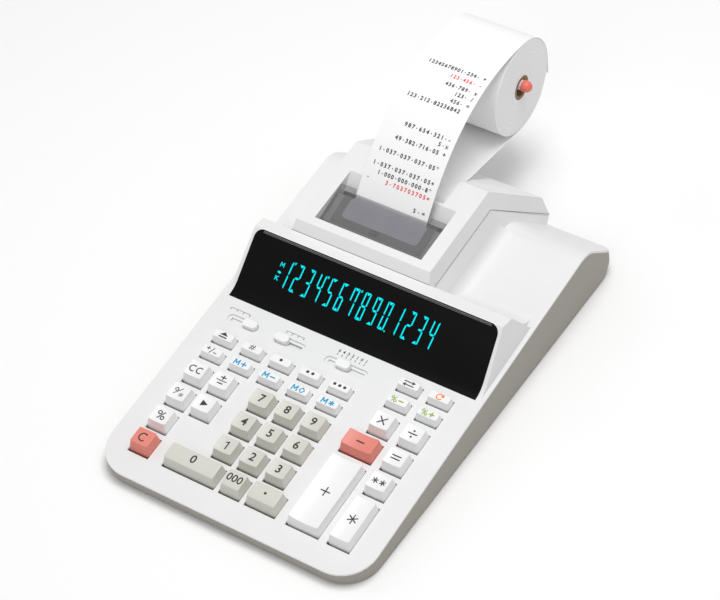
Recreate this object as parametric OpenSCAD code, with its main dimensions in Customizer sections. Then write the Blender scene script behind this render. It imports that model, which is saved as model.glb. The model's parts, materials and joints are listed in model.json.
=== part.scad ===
// Desk printing calculator: wedge case, curved display panel, printer hump,
// sprung keys, slide switches, tear-off window and a paper roll on a side arm.
// Sub-parts are drawn in the key deck's own frame: x from the middle of the case,
// y back from its front edge, z up from the deck. on_deck() tilts them to the desk.

/* [Case] */
// Width of the case
body_w = 209; // [200:1:255]
// Depth of the case along the deck
body_d = 326; // [322:1:392]
// Slope of the deck above the desk, in degrees
tilt = 6.9; // [4:0.1:8.3]
// Height of the case at its front edge
front_h = 9.8; // [9.8:0.1:14]
// Radius of the two front corners in plan
front_r = 25; // [15:1:35]
// Radius of the two rear corners in plan
rear_r = 9; // [5:1:14]
// Wall of both shells
wall = 2.2; // [1.8:0.1:2.7]
// Depth below the top surface at which the two shells meet
split_h = 1.6; // [1.2:0.1:1.7]
// Angle at which the rear of the case slopes down
rear_slope = 47; // [40:1:52]
// Radius between the deck and the rear slope
rear_arc = 21.7; // [15:0.5:26]
// How far the rubber feet stand proud
foot_h = 1.5; // [1:0.1:2.5]
// Radius of a rubber foot
foot_r = 7; // [5:0.5:9]

/* [Display] */
// Distance from the front edge to the display panel
panel_y = 154.4; // [154:0.2:185]
// Radius of the panel's concave foot
panel_arc = 19.1; // [12:0.5:23]
// Slope of the display panel
panel_slope = 39.5; // [33:0.5:44]
// Height of the panel's top edge above the deck
pod_h = 28.75; // [24:0.25:31]
// Width of the panel at its foot
panel_w = 196.6; // [163:0.2:198]
// How much narrower the panel is at its top
panel_taper = 3.6; // [1:0.2:6]
// Thickness of the display panel
panel_t = 1.8; // [1.2:0.1:2.1]

/* [Printer] */
// Sideways place of the printer's middle
printer_x = -20; // [-24:1:-12]
// Height of the printer cover's top above the deck
hump_h = 32.5; // [30:0.5:39]
// Height of the seam between cover and case
seam_h = 20.6; // [17:0.2:24]
// Width of the cover's flat top
hump_top_w = 107; // [100:1:128]
// How far the hump's sides lean out from the top to the deck
hump_lean = 9; // [5:0.5:11]
// Depth of the slope behind the printer hump's flat top
hump_slope_d = 42.8; // [40:0.2:46]
// Width of the opening for the tear-off window
opening_w = 85.4; // [82:0.2:90]
// Length of the opening for the tear-off window
opening_d = 46; // [45:0.5:48]
// Thickness of the tear-off window
window_t = 2; // [1.6:0.1:2.4]
// Radius of the window's hinge pins
pin_r = 1.5; // [1.2:0.1:1.8]
// Radius of the rubber feed roller
platen_r = 8; // [6.6:0.1:9.6]
// Radius of the type drum
drum_r = 6; // [5:0.1:7.2]

/* [Paper] */
// Width of the paper
paper_w = 57; // [47:1:68]
// Thickness at which the paper is drawn
paper_t = 0.3; // [0.2:0.05:0.4]
// Outside radius of the paper roll
roll_r = 35.8; // [29:0.2:40]
// Outside radius of the roll's cardboard core
core_r = 9.1; // [8:0.1:12]
// Radius of the core's bore
core_bore_r = 6.5; // [5.4:0.1:7.8]
// Radius of the spindle that the roll hangs on
spindle_r = 3.8; // [3.1:0.1:4.6]
// How far the roll's middle is behind the case's rear edge, along the key deck
roll_behind = 51.4; // [49:0.2:64]
// Height of the roll's centre above the deck
roll_z = 36.9; // [34:0.2:40]

/* [Keys] */
// Distance between neighbouring keys
key_pitch = 20.6; // [19:0.1:21]
// Width and depth of a full-size key
key_w = 15.7; // [13:0.1:16.4]
// Height of a full-size key above the deck
key_h = 7.8; // [6:0.1:10]
// Width of a small key
small_w = 16.4; // [13:0.1:19]
// Depth of a small key
small_d = 8.4; // [7:0.1:10]
// Height of a small key above the deck
small_h = 5.6; // [4:0.1:8]
// Sideways place of the 5 key
pad_x = -4.9; // [-8:0.1:-2]
// Distance from the front edge to the bottom row of keys
first_row = 26; // [26:0.1:28]
// How far a key travels
key_travel = 2.6; // [2:0.1:2.7]
// Gap between a key or knob and its hole
key_gap = 0.5; // [0.3:0.05:0.7]

/* [Hidden] */
fit = 0.3;        // gap between pieces that move past each other
seat = 0.1;       // gap between pieces that are fixed to each other
running = 0.05;   // radial gap of a shaft in its bearing
smooth = 48;

// ---- frames and outlines -------------------------------------------------

rear_foot_y = body_d - 15;
rear_foot_z = -front_h - rear_foot_y * tan(tilt);
deck_end = body_d - 41;
slope_start = deck_end + rear_arc * sin(rear_slope);
end_z = -rear_arc * (1 - cos(rear_slope)) - (body_d - slope_start) * tan(rear_slope);
deck_lift = foot_h + front_h * cos(tilt);
roll_back = roll_r + fit + paper_t;
roll_y = body_d + roll_behind;
back_reach = roll_y * cos(tilt) - roll_z * sin(tilt) + roll_back;
origin_y = -back_reach / 2;
shell_top = wall + panel_t;

// Tilts the deck's frame and centres the whole object on the origin.
module on_deck() {
  translate([0, origin_y, deck_lift]) rotate([tilt, 0, 0]) children();
}

// Extrudes a (y, z) outline along x.
module x_slab(outline, x0, x1) {
  translate([x0, 0, 0]) rotate([90, 0, 90]) linear_extrude(x1 - x0) polygon(outline);
}

// Extrudes an (x, z) outline along y.
module y_prism(outline, y0, y1) {
  translate([0, y1, 0]) rotate([90, 0, 0]) linear_extrude(y1 - y0) polygon(outline);
}

// A box given by its lowest and highest corners.
module box(low, high) {
  translate(low) cube(high - low);
}

// A cylinder along x, at a place in the (y, z) plane.
module x_rod(place, radius, x0, x1) {
  translate([x0, place[0], place[1]]) rotate([0, 90, 0]) cylinder(r = radius, h = x1 - x0, $fn = smooth);
}

function polar(angle) = [cos(angle), sin(angle)];
function arc(centre, radius, from, to, steps) =
  [for (i = [0:steps]) centre + radius * polar(from + (to - from) * i / steps)];
function turned(list) = [for (i = [len(list) - 1:-1:0]) list[i]];

// The case's outline seen from above, drawn in by an inset.
module plan(inset) {
  half = body_w / 2;
  back = body_d + seat;
  translate([0, 0, -90]) linear_extrude(180) polygon(concat(
    arc([half - front_r, front_r], front_r - inset, 0, -90, 8),
    arc([front_r - half, front_r], front_r - inset, -90, -180, 8),
    arc([rear_r - half, back - rear_r], rear_r - inset, 180, 90, 5),
    arc([half - rear_r, back - rear_r], rear_r - inset, 90, 0, 5)));
}

// The case's top line, from the front edge back and down the rear slope to the undercut.
undercut = (end_z - rear_foot_z) / (body_d - rear_foot_y);
function top_line(inset, wall_inset = 0) =
  let (short = (inset / cos(rear_slope) + wall_inset * norm([1, undercut])) / (undercut + tan(rear_slope)))
  concat([[-1, -inset]], arc([deck_end, -rear_arc], rear_arc - inset, 90, 90 - rear_slope, 5),
    [[body_d - short, end_z + short * tan(rear_slope) - inset / cos(rear_slope)]]);

// Everything between a depth below the top line and the underside.
function case_outline(top_inset, wall_inset) = concat(top_line(top_inset, wall_inset),
  [[rear_foot_y - 0.36 * wall_inset, rear_foot_z + 1.05 * wall_inset],
   [-1, tan(tilt) - front_h + wall_inset]]);

function underside_z(y) = -front_h - y * tan(tilt);

// ---- display pod and printer hump ----------------------------------------

ramp_rise = panel_arc * (1 - cos(panel_slope));
pod_top_y = panel_y + panel_arc * sin(panel_slope) + (pod_h - ramp_rise) / tan(panel_slope);
cover_y = pod_top_y + 10.3;            // front edge of the printer cover
pod_back_h = pod_h - 2.7;
pod_foot_y = cover_y + pod_back_h / tan(60);
hump_y = cover_y + 5.5;                // front edge of the cover's flat top
hump_back = body_d + 5.5;
hump_end = hump_back - hump_slope_d;   // where the cover's top falls away
hump_back_z = hump_h - (hump_back - hump_end) * tan(rear_slope);

// The display ramp's line: a concave foot that runs into a straight slope.
function ramp(inset) = concat(
  arc([panel_y, panel_arc], panel_arc + inset, -90, panel_slope - 90, 8),
  [[pod_top_y + inset * sin(panel_slope), pod_h - inset * cos(panel_slope)]]);

module pod(inset, floor_z) {
  half = panel_w / 2 + 3.2 - inset;
  top = half - panel_taper / 2 - 1.4;
  intersection() {
    x_slab(concat([[panel_y, floor_z]], ramp(inset),
      [[pod_top_y + inset, pod_h - inset], [cover_y - inset / 2, pod_back_h - inset],
       [pod_foot_y - inset, 0], [pod_foot_y - inset, floor_z]]), -half, half);
    y_prism([[-half, floor_z], [-half, 0], [-top, pod_h], [top, pod_h], [half, 0], [half, floor_z]],
      panel_y, pod_foot_y);
  }
}

// The hump under and including the printer cover, drawn in by an inset.
module hump(inset, floor_z) {
  top = hump_top_w / 2 - inset;
  foot = top + hump_lean * (hump_h + 45) / hump_h;
  tail_z = end_z + (hump_back - body_d) * undercut;
  intersection() {
    x_slab([[cover_y + inset, floor_z], [cover_y + inset, pod_back_h - inset], [hump_y, hump_h - inset],
      [hump_end - 0.4 * inset, hump_h - inset], [hump_back - inset, hump_back_z - 0.6 * inset],
      [hump_back - inset, tail_z + inset], [body_d - 1.5 - 3 * inset, end_z + 2.5 * inset],
      [deck_end, floor_z]], printer_x - foot, printer_x + foot);
    translate([printer_x, 0, 0])
      y_prism([[-foot, -45], [-top, hump_h], [top, hump_h], [foot, -45]], cover_y, hump_back);
  }
}

// Everything above the seam between the printer cover and the case.
module above_seam() {
  drop = hump_h - seam_h;
  corner_y = hump_end - drop * tan(rear_slope / 2);
  x_slab([[cover_y - 1, seam_h], [corner_y, seam_h],
    [hump_back + 1, seam_h - (hump_back + 1 - corner_y) * tan(rear_slope)],
    [hump_back + 1, 60], [cover_y - 1, 60]], -body_w, body_w);
}

// ---- paper path ----------------------------------------------------------

exit_angle = 45;                       // the printed strip rises at this slope
feed_angle = 41;                       // the strip comes down to the platen at this slope
bend_r = 8;
tail = 14;                             // loose end that hangs behind the roll
wrap_r = platen_r + fit + paper_t / 2;
hang_r = roll_r + fit + paper_t / 2;
platen_at = [hump_y + 25.7, 7.3];
drum_at = platen_at + (platen_r + drum_r + paper_t + 2 * fit) * polar(162);
roll_at = [roll_y, roll_z];
inlet_at = [hump_y + 61, hump_h - 5.6];
supply_span = roll_at - inlet_at;
supply_angle = asin(hang_r / norm(supply_span)) - atan2(supply_span[1], supply_span[0]);

function bezier(a, b, c, d, t) =
  a * pow(1 - t, 3) + 3 * b * t * pow(1 - t, 2) + 3 * c * t * t * (1 - t) + d * pow(t, 3);

// Where a line from the platen crosses the supply line at the inlet.
feed_start = platen_at + wrap_r * polar(feed_angle - 90);
feed_dir = polar(feed_angle);
supply_dir = polar(-supply_angle);
along_feed = ((inlet_at[0] - feed_start[0]) * supply_dir[1] - (inlet_at[1] - feed_start[1]) * supply_dir[0])
  / (feed_dir[0] * supply_dir[1] - feed_dir[1] * supply_dir[0]);
bend_at = feed_start + along_feed * feed_dir;
bend_cut = bend_r * tan((feed_angle + supply_angle) / 2);
bend_centre = bend_at - bend_cut * feed_dir + bend_r * polar(feed_angle - 90);

strip_out = platen_at + wrap_r * polar(exit_angle + 90) + 30 * polar(exit_angle);
strip_lands = roll_at + hang_r * polar(75);
web_path = concat(
  arc(roll_at, hang_r, -50, -90 - supply_angle, 8),
  arc(bend_centre, bend_r, 90 - supply_angle, 90 + feed_angle, 6),
  arc(platen_at, wrap_r, feed_angle - 90, exit_angle - 270, 16),
  [for (i = [0:14]) bezier(strip_out, strip_out + 60 * polar(exit_angle),
    strip_lands - 48 * polar(-15), strip_lands, i / 14)],
  arc(roll_at, hang_r, 71, -tilt, 10),
  [roll_at + hang_r * polar(-tilt) - tail * [sin(tilt), cos(tilt)]]);

// Gives a path a thickness, half on each side.
function band(path, thick) =
  let (sides = [for (i = [0:len(path) - 1])
    let (step = path[min(i + 1, len(path) - 1)] - path[max(i - 1, 0)])
    [-step[1], step[0]] / norm(step) * thick / 2])
  concat([for (i = [0:len(path) - 1]) path[i] + sides[i]],
    [for (i = [len(path) - 1:-1:0]) path[i] - sides[i]]);

paper_left = printer_x - paper_w / 2;
paper_right = printer_x + paper_w / 2;

module paper_web() {
  color("white") on_deck() x_slab(band(web_path, paper_t), paper_left, paper_right);
}

module paper_roll() {
  color("white") on_deck() difference() {
    x_rod(roll_at, roll_r, paper_left, paper_right);
    x_rod(roll_at, core_r, paper_left - 1, paper_right + 1);
  }
}

module roll_core() {
  color("tan") on_deck() difference() {
    x_rod(roll_at, core_r, paper_left, paper_right);
    x_rod(roll_at, core_bore_r, paper_left - 1, paper_right + 1);
  }
}

// ---- roll arm ------------------------------------------------------------

arm_w = 8;
arm_t = 3.5;
arm_right = paper_left - 2.5;
arm_root = [body_d - 14, end_z - 7.3];
arm_elbow = [hump_back + 12.5, end_z - 1.5];
spindle_at = roll_at + (core_bore_r - spindle_r - seat) * [sin(tilt), cos(tilt)];

// A flat bar lying in the (y, z) plane, with round ends a trace wider than the bar itself.
module link(a, b, width, x0, x1) {
  side = 0.49 * width * [a[1] - b[1], b[0] - a[0]] / norm(b - a);
  x_slab([a + side, b + side, b - side, a - side], x0, x1);
  x_rod(a, width / 2, x0, x1);
  x_rod(b, width / 2, x0, x1);
}

module roll_arm() {
  color("gainsboro") on_deck() {
    link(arm_root, arm_elbow, arm_w, arm_right - arm_t, arm_right);
    link(arm_elbow, spindle_at, arm_w, arm_right - arm_t, arm_right);
    x_rod(spindle_at, spindle_r, arm_right - 1, paper_right + 1);
    x_rod(spindle_at, arm_w / 2 + 2, arm_right - arm_t - 1, arm_right);
  }
}

module spindle_tip() {
  color("salmon") on_deck() {
    x_rod(spindle_at, spindle_r + 0.4, paper_right + 1, paper_right + 4);
    intersection() {
      translate([paper_right + 4, spindle_at[0], spindle_at[1]]) sphere(r = spindle_r + 0.4, $fn = smooth);
      x_rod(spindle_at, spindle_r + 1, paper_right + 4, paper_right + 9);
    }
  }
}

// ---- printer cover and tear-off window -----------------------------------

opening_y = hump_y + 6.4;
opening_end = opening_y + opening_d;
opening_left = printer_x - opening_w / 2;
opening_right = printer_x + opening_w / 2;
trough_half = paper_w / 2 + 2.5;
hinge_at = [opening_y + 3, hump_h - 7.3];
window_angle = 9.3;
tooth = 0.9;

function supply_z(y) = bend_at[1] - (y - bend_at[0]) * tan(supply_angle);

// The channel that the supply strip runs down, and the slot it enters by.
module trough_cut() {
  x_slab([[opening_end + wall, 60], [opening_end + wall, 5], [bend_at[0] + 4, 5],
    [bend_at[0] + 4, supply_z(bend_at[0] + 4) - 1.8], [hump_back, supply_z(hump_back) - 1.8],
    [hump_back, 60]], printer_x - trough_half, printer_x + trough_half);
}

module trough_block() {
  start = bend_at[0] + 4;
  intersection() {
    hump(0, -3);
    union() {
      x_slab([[start, supply_z(start) - 1.8 - wall], [hump_back, supply_z(hump_back) - 1.8 - wall],
        [hump_back, 60], [start, 60]], printer_x - trough_half - wall, printer_x + trough_half + wall);
      for (side = [-1, 1]) box(
        [printer_x + side * (trough_half + wall / 2) - wall / 2, opening_end, hump_h - 9],
        [printer_x + side * (trough_half + wall / 2) + wall / 2, start + 1, hump_h]);
    }
  }
}

// Walls around the window's opening, and the sloping plate behind the outlet.
module opening_frame() {
  low = hump_h - 11;
  for (side = [-1, 1]) box(
    [printer_x + side * (opening_w + wall) / 2 - wall / 2, opening_y - wall, low],
    [printer_x + side * (opening_w + wall) / 2 + wall / 2, opening_end + wall, hump_h - wall / 2]);
  box([opening_left - wall, opening_y - wall, low], [opening_right + wall, opening_y, hump_h - wall / 2]);
}

module outlet_plate() {
  x_slab([[opening_end, hump_h], [opening_end + wall, hump_h], [opening_end + wall, hump_h - 3],
    [opening_end - 9.4, hump_h - 13.3], [opening_end - 10.9, hump_h - 9.6]],
    opening_left - wall / 2, opening_right + wall / 2);
}

module printer_cover() {
  color([0.9, 0.9, 0.9]) on_deck() difference() {
    union() {
      difference() {
        intersection() {
          union() {
            difference() {
              hump(0, -3);
              hump(wall, -12);
            }
            opening_frame();
            trough_block();
          }
          translate([0, 0, fit]) above_seam();
        }
        box([opening_left, opening_y, hump_h - 20], [opening_right, opening_end, 60]);
      }
      outlet_plate();
    }
    trough_cut();
    x_rod(hinge_at, pin_r + running, opening_left - wall - 1, opening_right + wall + 1);
  }
}

// The smoked window: a plate on two pins, with a serrated edge to tear against. In its own frame
// the strip rises past that edge at strip_lean, and tear_edge is as far back as the plate may reach.
strip_lean = exit_angle - window_angle;
hinge_to_strip = strip_out - hinge_at;
strip_back = hinge_to_strip * polar(window_angle);
strip_up = hinge_to_strip * polar(window_angle + 90);
tear_edge = strip_back + (window_t - strip_up) / tan(strip_lean) - 2 * fit / sin(strip_lean);
window_d = tear_edge + 2.9;            // its corners pass the tear edge beside the strip

module tear_off_window() {
  left = opening_left + key_gap;
  right = opening_right - key_gap;
  tooth_t = 0.4;
  tip = tear_edge - tooth_t / tan(strip_lean);
  notch = tip - tooth;
  color([0.3, 0.3, 0.32, 0.6]) on_deck() {
    translate([0, hinge_at[0], hinge_at[1]]) rotate([window_angle, 0, 0]) {
      difference() {
        x_slab([[0, 0], [window_d - 2.4, 0], [window_d, window_t], [0, window_t]], left, right);
        x_slab([[notch - (window_t + 1) / tan(strip_lean), -1], [notch + 1 / tan(strip_lean), window_t + 1],
          [window_d + 3, window_t + 1], [window_d + 3, -1]], paper_left - 1.5, paper_right + 1.5);
      }
      translate([paper_left, notch, window_t - tooth_t]) linear_extrude(tooth_t) polygon(concat(
        [[0, -2]], [for (i = [0:floor(paper_w)]) [i, i % 2 == 0 ? 0 : tooth]], [[floor(paper_w), -2]]));
    }
    x_rod(hinge_at, window_t, left, right);
    x_rod(hinge_at, pin_r, opening_left - wall + 0.5, left + 1);
    x_rod(hinge_at, pin_r, right - 1, opening_right + wall - 0.5);
  }
}

// ---- printer -------------------------------------------------------------

plate_gap = paper_w / 2 + 5.5;
plate_t = 2;
platen_shaft_r = 2.5;
drum_shaft_r = 2;
frame_front = drum_at[0] - 9;
frame_back = platen_at[0] + 11;

module printer_frame() {
  color("silver") on_deck() difference() {
    union() {
      for (side = [-1, 1]) x_slab(
        [[frame_front, -10], [frame_back, -10], [frame_back, 8], [platen_at[0] + 4, 14],
         [frame_front, 18]],
        printer_x + side * (plate_gap + plate_t / 2) - plate_t / 2,
        printer_x + side * (plate_gap + plate_t / 2) + plate_t / 2);
      box([printer_x - plate_gap - plate_t, frame_front, -10],
        [printer_x + plate_gap + plate_t, frame_back, -8]);
      intersection() {
        for (side = [-1, 1], y = [frame_front + 5, frame_back - 5])
          translate([printer_x + side * plate_gap * 0.8, y, -70]) cylinder(r = 4, h = 61, $fn = smooth);
        x_slab(case_outline(wall, wall), -body_w / 2, body_w / 2);
      }
    }
    x_rod(platen_at, platen_shaft_r + running, printer_x - 60, printer_x + 60);
    x_rod(drum_at, drum_shaft_r + running, printer_x - 60, printer_x + 60);
  }
}

module feed_roller() {
  reach = plate_gap + plate_t + 2;
  color("dimgray") on_deck() {
    x_rod(platen_at, platen_r, paper_left - 1, paper_right + 1);
    x_rod(platen_at, platen_shaft_r, printer_x - reach, printer_x + reach);
  }
}

module type_drum() {
  reach = plate_gap + plate_t + 2;
  wheels = 14;
  pitch = paper_w / wheels;
  color("gray") on_deck() {
    for (i = [0:wheels - 1]) x_rod(drum_at, drum_r,
      paper_left + i * pitch + 0.5, paper_left + (i + 1) * pitch - 0.5);
    x_rod(drum_at, drum_r - 1, paper_left, paper_right);
    x_rod(drum_at, drum_shaft_r, printer_x - reach, printer_x + reach);
  }
}

// ---- display -------------------------------------------------------------

panel_corner = [7, 7 * sin(panel_slope)];

// The panel's curved plate, its sides leaning in and its top corners round, grown by a clearance.
module panel_block(rise, grow) {
  half = panel_w / 2 + grow;
  top = half - panel_taper / 2;
  corner = function (x, from) [for (i = [0:5]) let (turn = polar(from + 18 * i))
    [x + panel_corner[0] * turn[0], pod_h + grow - panel_corner[1] * (1 - turn[1])]];
  intersection() {
    x_slab(concat(ramp(-rise), turned(ramp(panel_t))), -half, half);
    y_prism(concat([[-half, -9], [half, -9], [half, 0]], corner(top - panel_corner[0], 0),
      corner(panel_corner[0] - top, 90), [[-half, 0]]), panel_y - grow, pod_top_y + panel_t + 2);
  }
}

module display_window() {
  color("black") on_deck() panel_block(0, 0);
}

// Puts a piece behind the display panel: x, distance down the slope, depth.
module behind_panel() {
  translate([0, pod_top_y, pod_h]) rotate([panel_slope, 0, 0]) children();
}

tube_w = 158;
tube_d = 24;

module display_tube() {
  color("darkslategray") on_deck() behind_panel() {
    box([-tube_w / 2, -tube_d - 4.5, -shell_top - 6], [tube_w / 2, -4.5, -shell_top + 0.6]);
    for (i = [0:13]) box([-tube_w / 2 + 16 + i * 9.6, -tube_d - 7, -shell_top - 4],
      [-tube_w / 2 + 16.8 + i * 9.6, -tube_d - 4.5, -shell_top - 3]);
  }
}

// ---- keys ----------------------------------------------------------------

function row_y(row) = first_row + row * key_pitch - (row > 0 ? 0.2 : 0);
function column_x(column) = pad_x + (column - 1) * key_pitch;
function small_x(column) = pad_x - 73.7 + column * 23.4;
edge_x = pad_x - 52.9 - key_pitch;     // the left-hand column of keys
side_x = edge_x + key_pitch;           // the column beside it
wide_x = pad_x + 56.4;                 // the minus and plus keys
last_x = wide_x + 27.3;                // the right-hand column of keys
small_row = row_y(3) + 18.4;
small_back = small_row + 14.2;
upper_row = row_y(4) + 0.6;
memory_row = upper_row + 18.9;
wide_w = 24.6;
plus_d = 56.8;
total_d = 36.5;
zero_w = 41.1;
point_w = 23.3;
plus_y = first_row - key_w / 2 + plus_d / 2;
total_y = first_row - key_w / 2 + total_d / 2;

// Each entry is x, y, width, depth and height.
full = [key_w, key_w, key_h];
small = [small_w, small_d, small_h];
feed_key = concat([small_x(0), small_back], small);
item_key = concat([small_x(1), small_back], small);
cost_key = concat([small_x(2), small_back], small);
sell_key = concat([small_x(3), small_back], small);
margin_key = concat([small_x(4), small_back], small);
sign_key = concat([small_x(0), small_row], small);
memory_plus_key = concat([small_x(1), small_row], small);
memory_minus_key = concat([small_x(2), small_row], small);
memory_subtotal_key = concat([small_x(3), small_row], small);
memory_total_key = concat([small_x(4), small_row], small);
change_key = concat([last_x - 23.4, memory_row + 14.6], small);
reprint_key = concat([last_x, memory_row + 14.6], small);
tax_minus_key = concat([last_x - 23.4, memory_row], small);
tax_plus_key = concat([last_x, memory_row], small);
clear_all_key = concat([edge_x, row_y(3)], full);
markup_key = concat([side_x, row_y(3)], full);
seven_key = concat([column_x(0), row_y(3)], full);
eight_key = concat([column_x(1), row_y(3)], full);
nine_key = concat([column_x(2), row_y(3)], full);
multiply_key = concat([last_x - 23.1, upper_row], full);
divide_key = concat([last_x, upper_row], full);
nonadd_key = concat([edge_x, row_y(2)], full);
backspace_key = concat([side_x, row_y(2)], full);
four_key = concat([column_x(0), row_y(2)], full);
five_key = concat([column_x(1), row_y(2)], full);
six_key = concat([column_x(2), row_y(2)], full);
minus_key = [wide_x, row_y(3) + 0.8, wide_w, key_w, key_h];
equals_key = concat([last_x, row_y(3) + 0.8], full);
percent_key = concat([edge_x, row_y(1)], full);
one_key = concat([column_x(0), row_y(1)], full);
two_key = concat([column_x(1), row_y(1)], full);
three_key = concat([column_x(2), row_y(1)], full);
grand_total_key = concat([last_x, row_y(2) + 0.8], full);
plus_key = [wide_x, plus_y, wide_w, plus_d, key_h];
clear_key = concat([edge_x, first_row], full);
zero_key = [column_x(0) - (zero_w - key_w) / 2, first_row, zero_w, key_w, key_h];
triple_zero_key = concat([column_x(1) - 0.5, first_row], full);
decimal_key = [column_x(2) + (point_w - key_w) / 2 - 0.8, first_row, point_w, key_w, key_h];
total_key = [last_x, total_y, small_w, total_d, key_h];

KEYS = [feed_key, item_key, cost_key, sell_key, margin_key, sign_key, memory_plus_key,
  memory_minus_key, memory_subtotal_key, memory_total_key, change_key, reprint_key,
  tax_minus_key, tax_plus_key, clear_all_key, markup_key, seven_key, eight_key, nine_key,
  multiply_key, divide_key, nonadd_key, backspace_key, four_key, five_key, six_key, minus_key,
  equals_key, percent_key, one_key, two_key, three_key, grand_total_key, plus_key, clear_key,
  zero_key, triple_zero_key, decimal_key, total_key];

// A rounded rectangle at height z; front and back are its y limits.
function ring(half, front, back, radius, z) = [
  for (corner = [[half, back, 0], [-half, back, 90], [-half, front, 180], [half, front, 270]],
       step = [0:2])
    let (turn = polar(corner[2] + 45 * step),
         middle = [corner[0] - sign(corner[0]) * radius,
                   corner[1] - (corner[1] == back ? radius : -radius)])
    [middle[0] + radius * turn[0], middle[1] + radius * turn[1], z]];

// Skins a stack of rings that have the same number of points.
module loft(rings) {
  n = len(rings[0]);
  polyhedron(
    [for (r = rings, p = r) p],
    concat([[for (i = [0:n - 1]) i]],
      [for (k = [0:len(rings) - 2], i = [0:n - 1])
        [k * n + i, (k + 1) * n + i, (k + 1) * n + (i + 1) % n, k * n + (i + 1) % n]],
      [[for (i = [n - 1:-1:0]) (len(rings) - 1) * n + i]]));
}

flange_z = -wall - fit;
flange_t = 1.2;

// A key: a tapered cap that slopes most at the front, on a flange under the deck.
module key(place) {
  half = place[2] / 2;
  depth = place[3] / 2;
  height = place[4];
  taper = height * 0.154;
  on_deck() translate([place[0], place[1], 0]) {
    loft([ring(half, -depth, depth, 1.4, flange_z - 0.1),
      ring(half, -depth, depth, 1.4, 0.4),
      ring(half - taper, -depth + 1.7 * taper, depth - taper / 2, 1.2, height)]);
    box([-half - key_gap - 0.8, -depth - key_gap - 0.8, flange_z - flange_t],
      [half + key_gap + 0.8, depth + key_gap + 0.8, flange_z]);
  }
}

number_colour = [0.87, 0.86, 0.82];
white_colour = [0.94, 0.94, 0.94];
red_colour = [0.88, 0.52, 0.48];

module key_feed() { color(white_colour) key(feed_key); }
module key_item() { color(white_colour) key(item_key); }
module key_cost() { color(white_colour) key(cost_key); }
module key_sell() { color(white_colour) key(sell_key); }
module key_margin() { color(white_colour) key(margin_key); }
module key_sign() { color(white_colour) key(sign_key); }
module key_memory_plus() { color(white_colour) key(memory_plus_key); }
module key_memory_minus() { color(white_colour) key(memory_minus_key); }
module key_memory_subtotal() { color(white_colour) key(memory_subtotal_key); }
module key_memory_total() { color(white_colour) key(memory_total_key); }
module key_change() { color(white_colour) key(change_key); }
module key_reprint() { color(white_colour) key(reprint_key); }
module key_tax_minus() { color(white_colour) key(tax_minus_key); }
module key_tax_plus() { color(white_colour) key(tax_plus_key); }
module key_clear_all() { color(white_colour) key(clear_all_key); }
module key_markup() { color(white_colour) key(markup_key); }
module key_seven() { color(number_colour) key(seven_key); }
module key_eight() { color(number_colour) key(eight_key); }
module key_nine() { color(number_colour) key(nine_key); }
module key_multiply() { color(white_colour) key(multiply_key); }
module key_divide() { color(white_colour) key(divide_key); }
module key_nonadd() { color(white_colour) key(nonadd_key); }
module key_backspace() { color(white_colour) key(backspace_key); }
module key_four() { color(number_colour) key(four_key); }
module key_five() { color(number_colour) key(five_key); }
module key_six() { color(number_colour) key(six_key); }
module key_minus() { color(red_colour) key(minus_key); }
module key_equals() { color(white_colour) key(equals_key); }
module key_percent() { color(white_colour) key(percent_key); }
module key_one() { color(number_colour) key(one_key); }
module key_two() { color(number_colour) key(two_key); }
module key_three() { color(number_colour) key(three_key); }
module key_grand_total() { color(white_colour) key(grand_total_key); }
module key_plus() { color(white_colour) key(plus_key); }
module key_clear() { color(red_colour) key(clear_key); }
module key_zero() { color(number_colour) key(zero_key); }
module key_triple_zero() { color(number_colour) key(triple_zero_key); }
module key_decimal() { color(number_colour) key(decimal_key); }
module key_total() { color(white_colour) key(total_key); }

// ---- slide switches ------------------------------------------------------

switch_y = panel_y - 15.5;
slot_w = 6.9;
slot_deep = 1.2;
knob_l = 11;
knob_h = 3.4;
// Each switch is the slot's middle, the slot's length and where its knob rests in it.
power_switch = [pad_x - 71.1, 25, 6.5];
rounding_switch = [pad_x - 32.5, 24, -6];
decimal_switch = [pad_x + 12.5, 33.6, -1.9];
SWITCHES = [power_switch, rounding_switch, decimal_switch];

// An upright block with round ends along x, about its own middle.
module capsule(length, width, z0, z1) {
  box([(width - length) / 2, -width / 2, z0], [(length - width) / 2, width / 2, z1]);
  for (side = [-1, 1]) translate([side * (length - width) / 2, 0, z0])
    cylinder(d = width, h = z1 - z0, $fn = smooth);
}

// A knob that slides in its slot on a stem, held by a plate under the deck.
module knob(place) {
  on_deck() translate([place[0] + place[2], switch_y, 0]) {
    capsule(knob_l, slot_w - 2 * fit, fit - slot_deep, knob_h);
    box([-2.5, -1, flange_z - 0.5], [2.5, 1, 0]);
    box([-5, -2.5, flange_z - 1.2], [5, 2.5, flange_z]);
  }
}

module slot_cut(place) {
  travel = place[1] - knob_l;
  translate([place[0], switch_y, 0]) {
    capsule(place[1], slot_w, -slot_deep, 1);
    box([-travel / 2 - 3, -1 - fit, -wall - 1], [travel / 2 + 3, 1 + fit, 1]);
  }
}

module power_knob() { color(white_colour) knob(power_switch); }
module rounding_knob() { color(white_colour) knob(rounding_switch); }
module decimal_knob() { color(white_colour) knob(decimal_switch); }

// ---- boards --------------------------------------------------------------

sheet_z = flange_z - flange_t - key_travel - 0.7;   // top of the rubber sheet
sheet_t = 1;
board_t = 1.6;
board_z = sheet_z - sheet_t;                         // top of the board
board_half = body_w / 2 - 17;
board_front = first_row - key_w / 2 + 0.85;
board_back = cover_y - 4;

module dome_sheet() {
  color("lightgray") on_deck() {
    box([-board_half, board_front, board_z], [board_half, panel_y - 3, sheet_z]);
    for (place = KEYS) translate([place[0], place[1], sheet_z - 0.1]) cylinder(r = 3, h = 0.45, $fn = 24);
  }
}

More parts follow.
